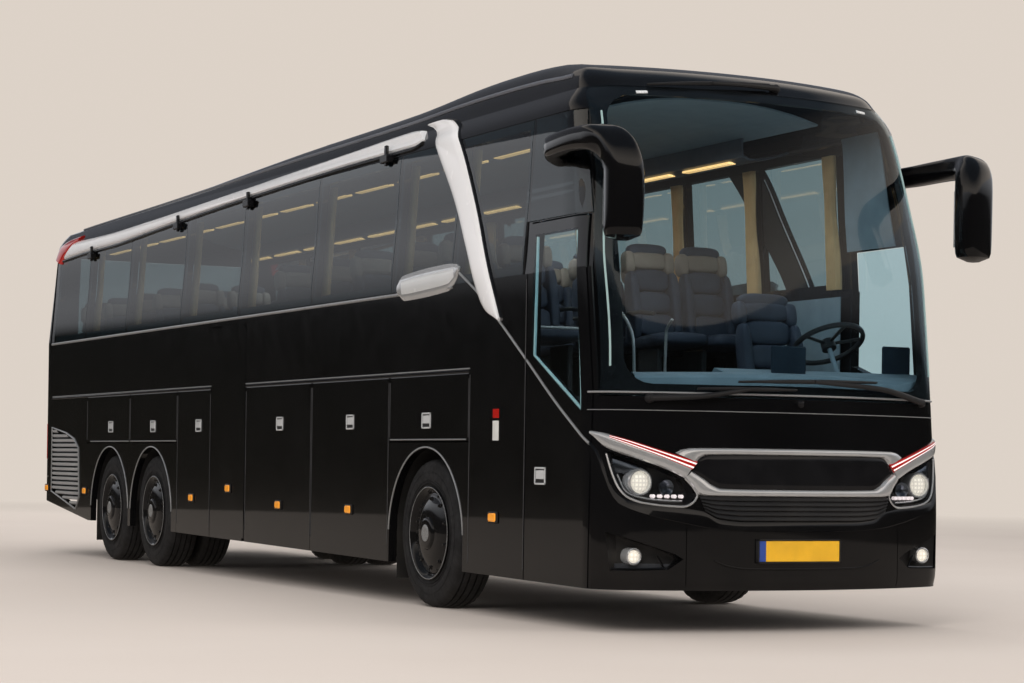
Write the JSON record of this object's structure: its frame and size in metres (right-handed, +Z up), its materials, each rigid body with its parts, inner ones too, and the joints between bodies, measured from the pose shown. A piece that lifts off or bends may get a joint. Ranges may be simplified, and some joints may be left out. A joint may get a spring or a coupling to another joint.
{
  "type": "touring coach",
  "caption": "Long high-floor touring coach with hollow cabin, sliding plug door, mid door, top-hung luggage flaps, engine lid, steered front and tag wheels and twin drive wheels.",
  "frame": {"origin": "on the ground, at the centre of the bounding box in plan, mirrors included", "axes": "+Z up, the coach faces -Y, +X is the coach's left side"},
  "size_m": [2.847, 13.1749, 3.8799],
  "materials": {
    "body_paint": "gloss black paint",
    "side_glass": "dark tinted glass",
    "screen_glass": "clear green-tinted glass",
    "black_trim": "satin black",
    "lamp": "clear lamp covers",
    "grille": "satin silver slats",
    "floor_cover": "dark grey floor covering",
    "chassis": "satin chassis black",
    "casting": "painted castings",
    "rubber_guard": "matt black",
    "dash": "dark blue-grey plastic",
    "seat_cover": "dark navy leather with beige shoulders",
    "rack": "grey plastic",
    "mirror_shell": "gloss black",
    "wheel_paint": "gloss black wheels",
    "tyre": "black tyre"
  },
  "bodies": {
    "coach_body": {"side_wall_left": "body_paint", "side_wall_right": "body_paint", "windows": "side_glass", "windscreen": "screen_glass", "front_frame": "black_trim", "front_mask": "body_paint", "front_bumper": "body_paint", "rear_wall": "body_paint", "rear_bumper": "body_paint", "roof": "body_paint", "lamps": "lamp", "side_grilles": "grille", "floor": "floor_cover", "underframe": "chassis", "mudguards": "rubber_guard", "engine": "casting", "dashboard": "dash", "driver_seat": "seat_cover", "passenger_seats": "seat_cover", "luggage_racks": "rack", "mirrors": "mirror_shell", "wipers": "black_trim", "front_axle": "casting", "tag_axle": "casting", "drive_axle": "casting"},
    "front_wheel_lid_left": {"front_wheel_lid_left": "body_paint"},
    "drive_wheel_lid_left": {"drive_wheel_lid_left": "body_paint"},
    "tag_wheel_lid_left": {"tag_wheel_lid_left": "body_paint"},
    "luggage_flap_left_1": {"luggage_flap_left_1": "body_paint"},
    "luggage_flap_left_2": {"luggage_flap_left_2": "body_paint"},
    "luggage_flap_left_3": {"luggage_flap_left_3": "body_paint"},
    "front_wheel_lid_right": {"front_wheel_lid_right": "body_paint"},
    "drive_wheel_lid_right": {"drive_wheel_lid_right": "body_paint"},
    "tag_wheel_lid_right": {"tag_wheel_lid_right": "body_paint"},
    "luggage_flap_right_1": {"luggage_flap_right_1": "body_paint"},
    "luggage_flap_right_2": {"luggage_flap_right_2": "body_paint"},
    "luggage_flap_right_3": {"luggage_flap_right_3": "body_paint"},
    "engine_lid": {"engine_lid": "body_paint"},
    "mid_door": {"mid_door": "body_paint"},
    "front_door_arm": {"front_door_arm": "chassis"},
    "front_door": {"front_door": "body_paint", "front_door_glass": "side_glass"},
    "front_knuckle_left": {"front_knuckle_left": "casting"},
    "front_knuckle_right": {"front_knuckle_right": "casting"},
    "tag_knuckle_left": {"tag_knuckle_left": "casting"},
    "tag_knuckle_right": {"tag_knuckle_right": "casting"},
    "front_wheel_left": {"front_wheel_left": "wheel_paint", "front_tyre_left": "tyre"},
    "front_wheel_right": {"front_wheel_right": "wheel_paint", "front_tyre_right": "tyre"},
    "drive_wheel_left": {"drive_wheel_left": "wheel_paint", "drive_tyre_left": "tyre"},
    "drive_wheel_right": {"drive_wheel_right": "wheel_paint", "drive_tyre_right": "tyre"},
    "tag_wheel_left": {"tag_wheel_left": "wheel_paint", "tag_tyre_left": "tyre"},
    "tag_wheel_right": {"tag_wheel_right": "wheel_paint", "tag_tyre_right": "tyre"},
    "steering_wheel": {"steering_wheel": "dash"}
  },
  "joints": [
    {"name": "front_wheel_lid_left_hinge", "type": "hinge", "parent": "coach_body", "child": "front_wheel_lid_left", "pos_m": [1.255, -3.6575, 1.617], "axis": [0, -1, 0], "range_deg": [0, 95]},
    {"name": "drive_wheel_lid_left_hinge", "type": "hinge", "parent": "coach_body", "child": "drive_wheel_lid_left", "pos_m": [1.255, 2.6925, 1.617], "axis": [0, -1, 0], "range_deg": [0, 95]},
    {"name": "tag_wheel_lid_left_hinge", "type": "hinge", "parent": "coach_body", "child": "tag_wheel_lid_left", "pos_m": [1.255, 4.0425, 1.617], "axis": [0, -1, 0], "range_deg": [0, 95]},
    {"name": "luggage_flap_left_1_hinge", "type": "hinge", "parent": "coach_body", "child": "luggage_flap_left_1", "pos_m": [1.255, -0.6575, 1.617], "axis": [0, -1, 0], "range_deg": [0, 95]},
    {"name": "luggage_flap_left_2_hinge", "type": "hinge", "parent": "coach_body", "child": "luggage_flap_left_2", "pos_m": [1.255, -0.6575, 1.617], "axis": [0, -1, 0], "range_deg": [0, 95]},
    {"name": "luggage_flap_left_3_hinge", "type": "hinge", "parent": "coach_body", "child": "luggage_flap_left_3", "pos_m": [1.255, -0.6575, 1.617], "axis": [0, -1, 0], "range_deg": [0, 95]},
    {"name": "front_wheel_lid_right_hinge", "type": "hinge", "parent": "coach_body", "child": "front_wheel_lid_right", "pos_m": [-1.255, -3.6575, 1.617], "axis": [0, 1, 0], "range_deg": [0, 95]},
    {"name": "drive_wheel_lid_right_hinge", "type": "hinge", "parent": "coach_body", "child": "drive_wheel_lid_right", "pos_m": [-1.255, 2.6925, 1.617], "axis": [0, 1, 0], "range_deg": [0, 95]},
    {"name": "tag_wheel_lid_right_hinge", "type": "hinge", "parent": "coach_body", "child": "tag_wheel_lid_right", "pos_m": [-1.255, 4.0425, 1.617], "axis": [0, 1, 0], "range_deg": [0, 95]},
    {"name": "luggage_flap_right_1_hinge", "type": "hinge", "parent": "coach_body", "child": "luggage_flap_right_1", "pos_m": [-1.255, -0.6575, 1.617], "axis": [0, 1, 0], "range_deg": [0, 95]},
    {"name": "luggage_flap_right_2_hinge", "type": "hinge", "parent": "coach_body", "child": "luggage_flap_right_2", "pos_m": [-1.255, -0.6575, 1.617], "axis": [0, 1, 0], "range_deg": [0, 95]},
    {"name": "luggage_flap_right_3_hinge", "type": "hinge", "parent": "coach_body", "child": "luggage_flap_right_3", "pos_m": [-1.255, -0.6575, 1.617], "axis": [0, 1, 0], "range_deg": [0, 95]},
    {"name": "engine_lid_hinge", "type": "hinge", "parent": "coach_body", "child": "engine_lid", "pos_m": [0, 6.5395, 1.585], "axis": [1, 0, 0], "range_deg": [0, 80]},
    {"name": "mid_door_hinge", "type": "hinge", "parent": "coach_body", "child": "mid_door", "pos_m": [-1.255, 0.1055, 1.2], "axis": [0, 0, 1], "range_deg": [0, 90]},
    {"name": "front_door_arm_turn", "type": "hinge", "parent": "coach_body", "child": "front_door_arm", "pos_m": [-1.16, -5.9475, 0.92], "axis": [0, 0, 1], "range_deg": [0, 120]},
    {"name": "front_door_turn", "type": "hinge", "parent": "front_door_arm", "child": "front_door", "pos_m": [-1.16, -5.5175, 0.92], "axis": [0, 0, 1], "range_deg": [-120, 0]},
    {"name": "front_steer_left", "type": "hinge", "parent": "coach_body", "child": "front_knuckle_left", "pos_m": [0.925, -3.6575, 0.52], "axis": [0, 0, 1], "range_deg": [-45, 45]},
    {"name": "front_steer_right", "type": "hinge", "parent": "coach_body", "child": "front_knuckle_right", "pos_m": [-0.925, -3.6575, 0.52], "axis": [0, 0, 1], "range_deg": [-45, 45]},
    {"name": "tag_steer_left", "type": "hinge", "parent": "coach_body", "child": "tag_knuckle_left", "pos_m": [0.925, 4.0425, 0.52], "axis": [0, 0, 1], "range_deg": [-12, 12]},
    {"name": "tag_steer_right", "type": "hinge", "parent": "coach_body", "child": "tag_knuckle_right", "pos_m": [-0.925, 4.0425, 0.52], "axis": [0, 0, 1], "range_deg": [-12, 12]},
    {"name": "front_roll_left", "type": "hinge", "parent": "front_knuckle_left", "child": "front_wheel_left", "pos_m": [1.09, -3.6575, 0.52], "axis": [1, 0, 0], "continuous": true},
    {"name": "front_roll_right", "type": "hinge", "parent": "front_knuckle_right", "child": "front_wheel_right", "pos_m": [-1.09, -3.6575, 0.52], "axis": [1, 0, 0], "continuous": true},
    {"name": "drive_roll_left", "type": "hinge", "parent": "coach_body", "child": "drive_wheel_left", "pos_m": [1.09, 2.6925, 0.52], "axis": [1, 0, 0], "continuous": true},
    {"name": "drive_roll_right", "type": "hinge", "parent": "coach_body", "child": "drive_wheel_right", "pos_m": [-1.09, 2.6925, 0.52], "axis": [1, 0, 0], "continuous": true},
    {"name": "tag_roll_left", "type": "hinge", "parent": "tag_knuckle_left", "child": "tag_wheel_left", "pos_m": [1.09, 4.0425, 0.52], "axis": [1, 0, 0], "continuous": true},
    {"name": "tag_roll_right", "type": "hinge", "parent": "tag_knuckle_right", "child": "tag_wheel_right", "pos_m": [-1.09, 4.0425, 0.52], "axis": [1, 0, 0], "continuous": true},
    {"name": "steering_wheel_turn", "type": "hinge", "parent": "coach_body", "child": "steering_wheel", "pos_m": [0.64, -5.8075, 1.83], "axis": [0, 0.5, 0.866], "range_deg": [-810, 810]}
  ],
  "couplings": [
    {"joint": "front_steer_right", "follows": "front_steer_left", "ratio": 1},
    {"joint": "tag_steer_left", "follows": "front_steer_left", "ratio": -0.25},
    {"joint": "tag_steer_right", "follows": "front_steer_left", "ratio": -0.25},
    {"joint": "steering_wheel_turn", "follows": "front_steer_left", "ratio": 18},
    {"joint": "front_door_turn", "follows": "front_door_arm_turn", "ratio": -1}
  ]
}
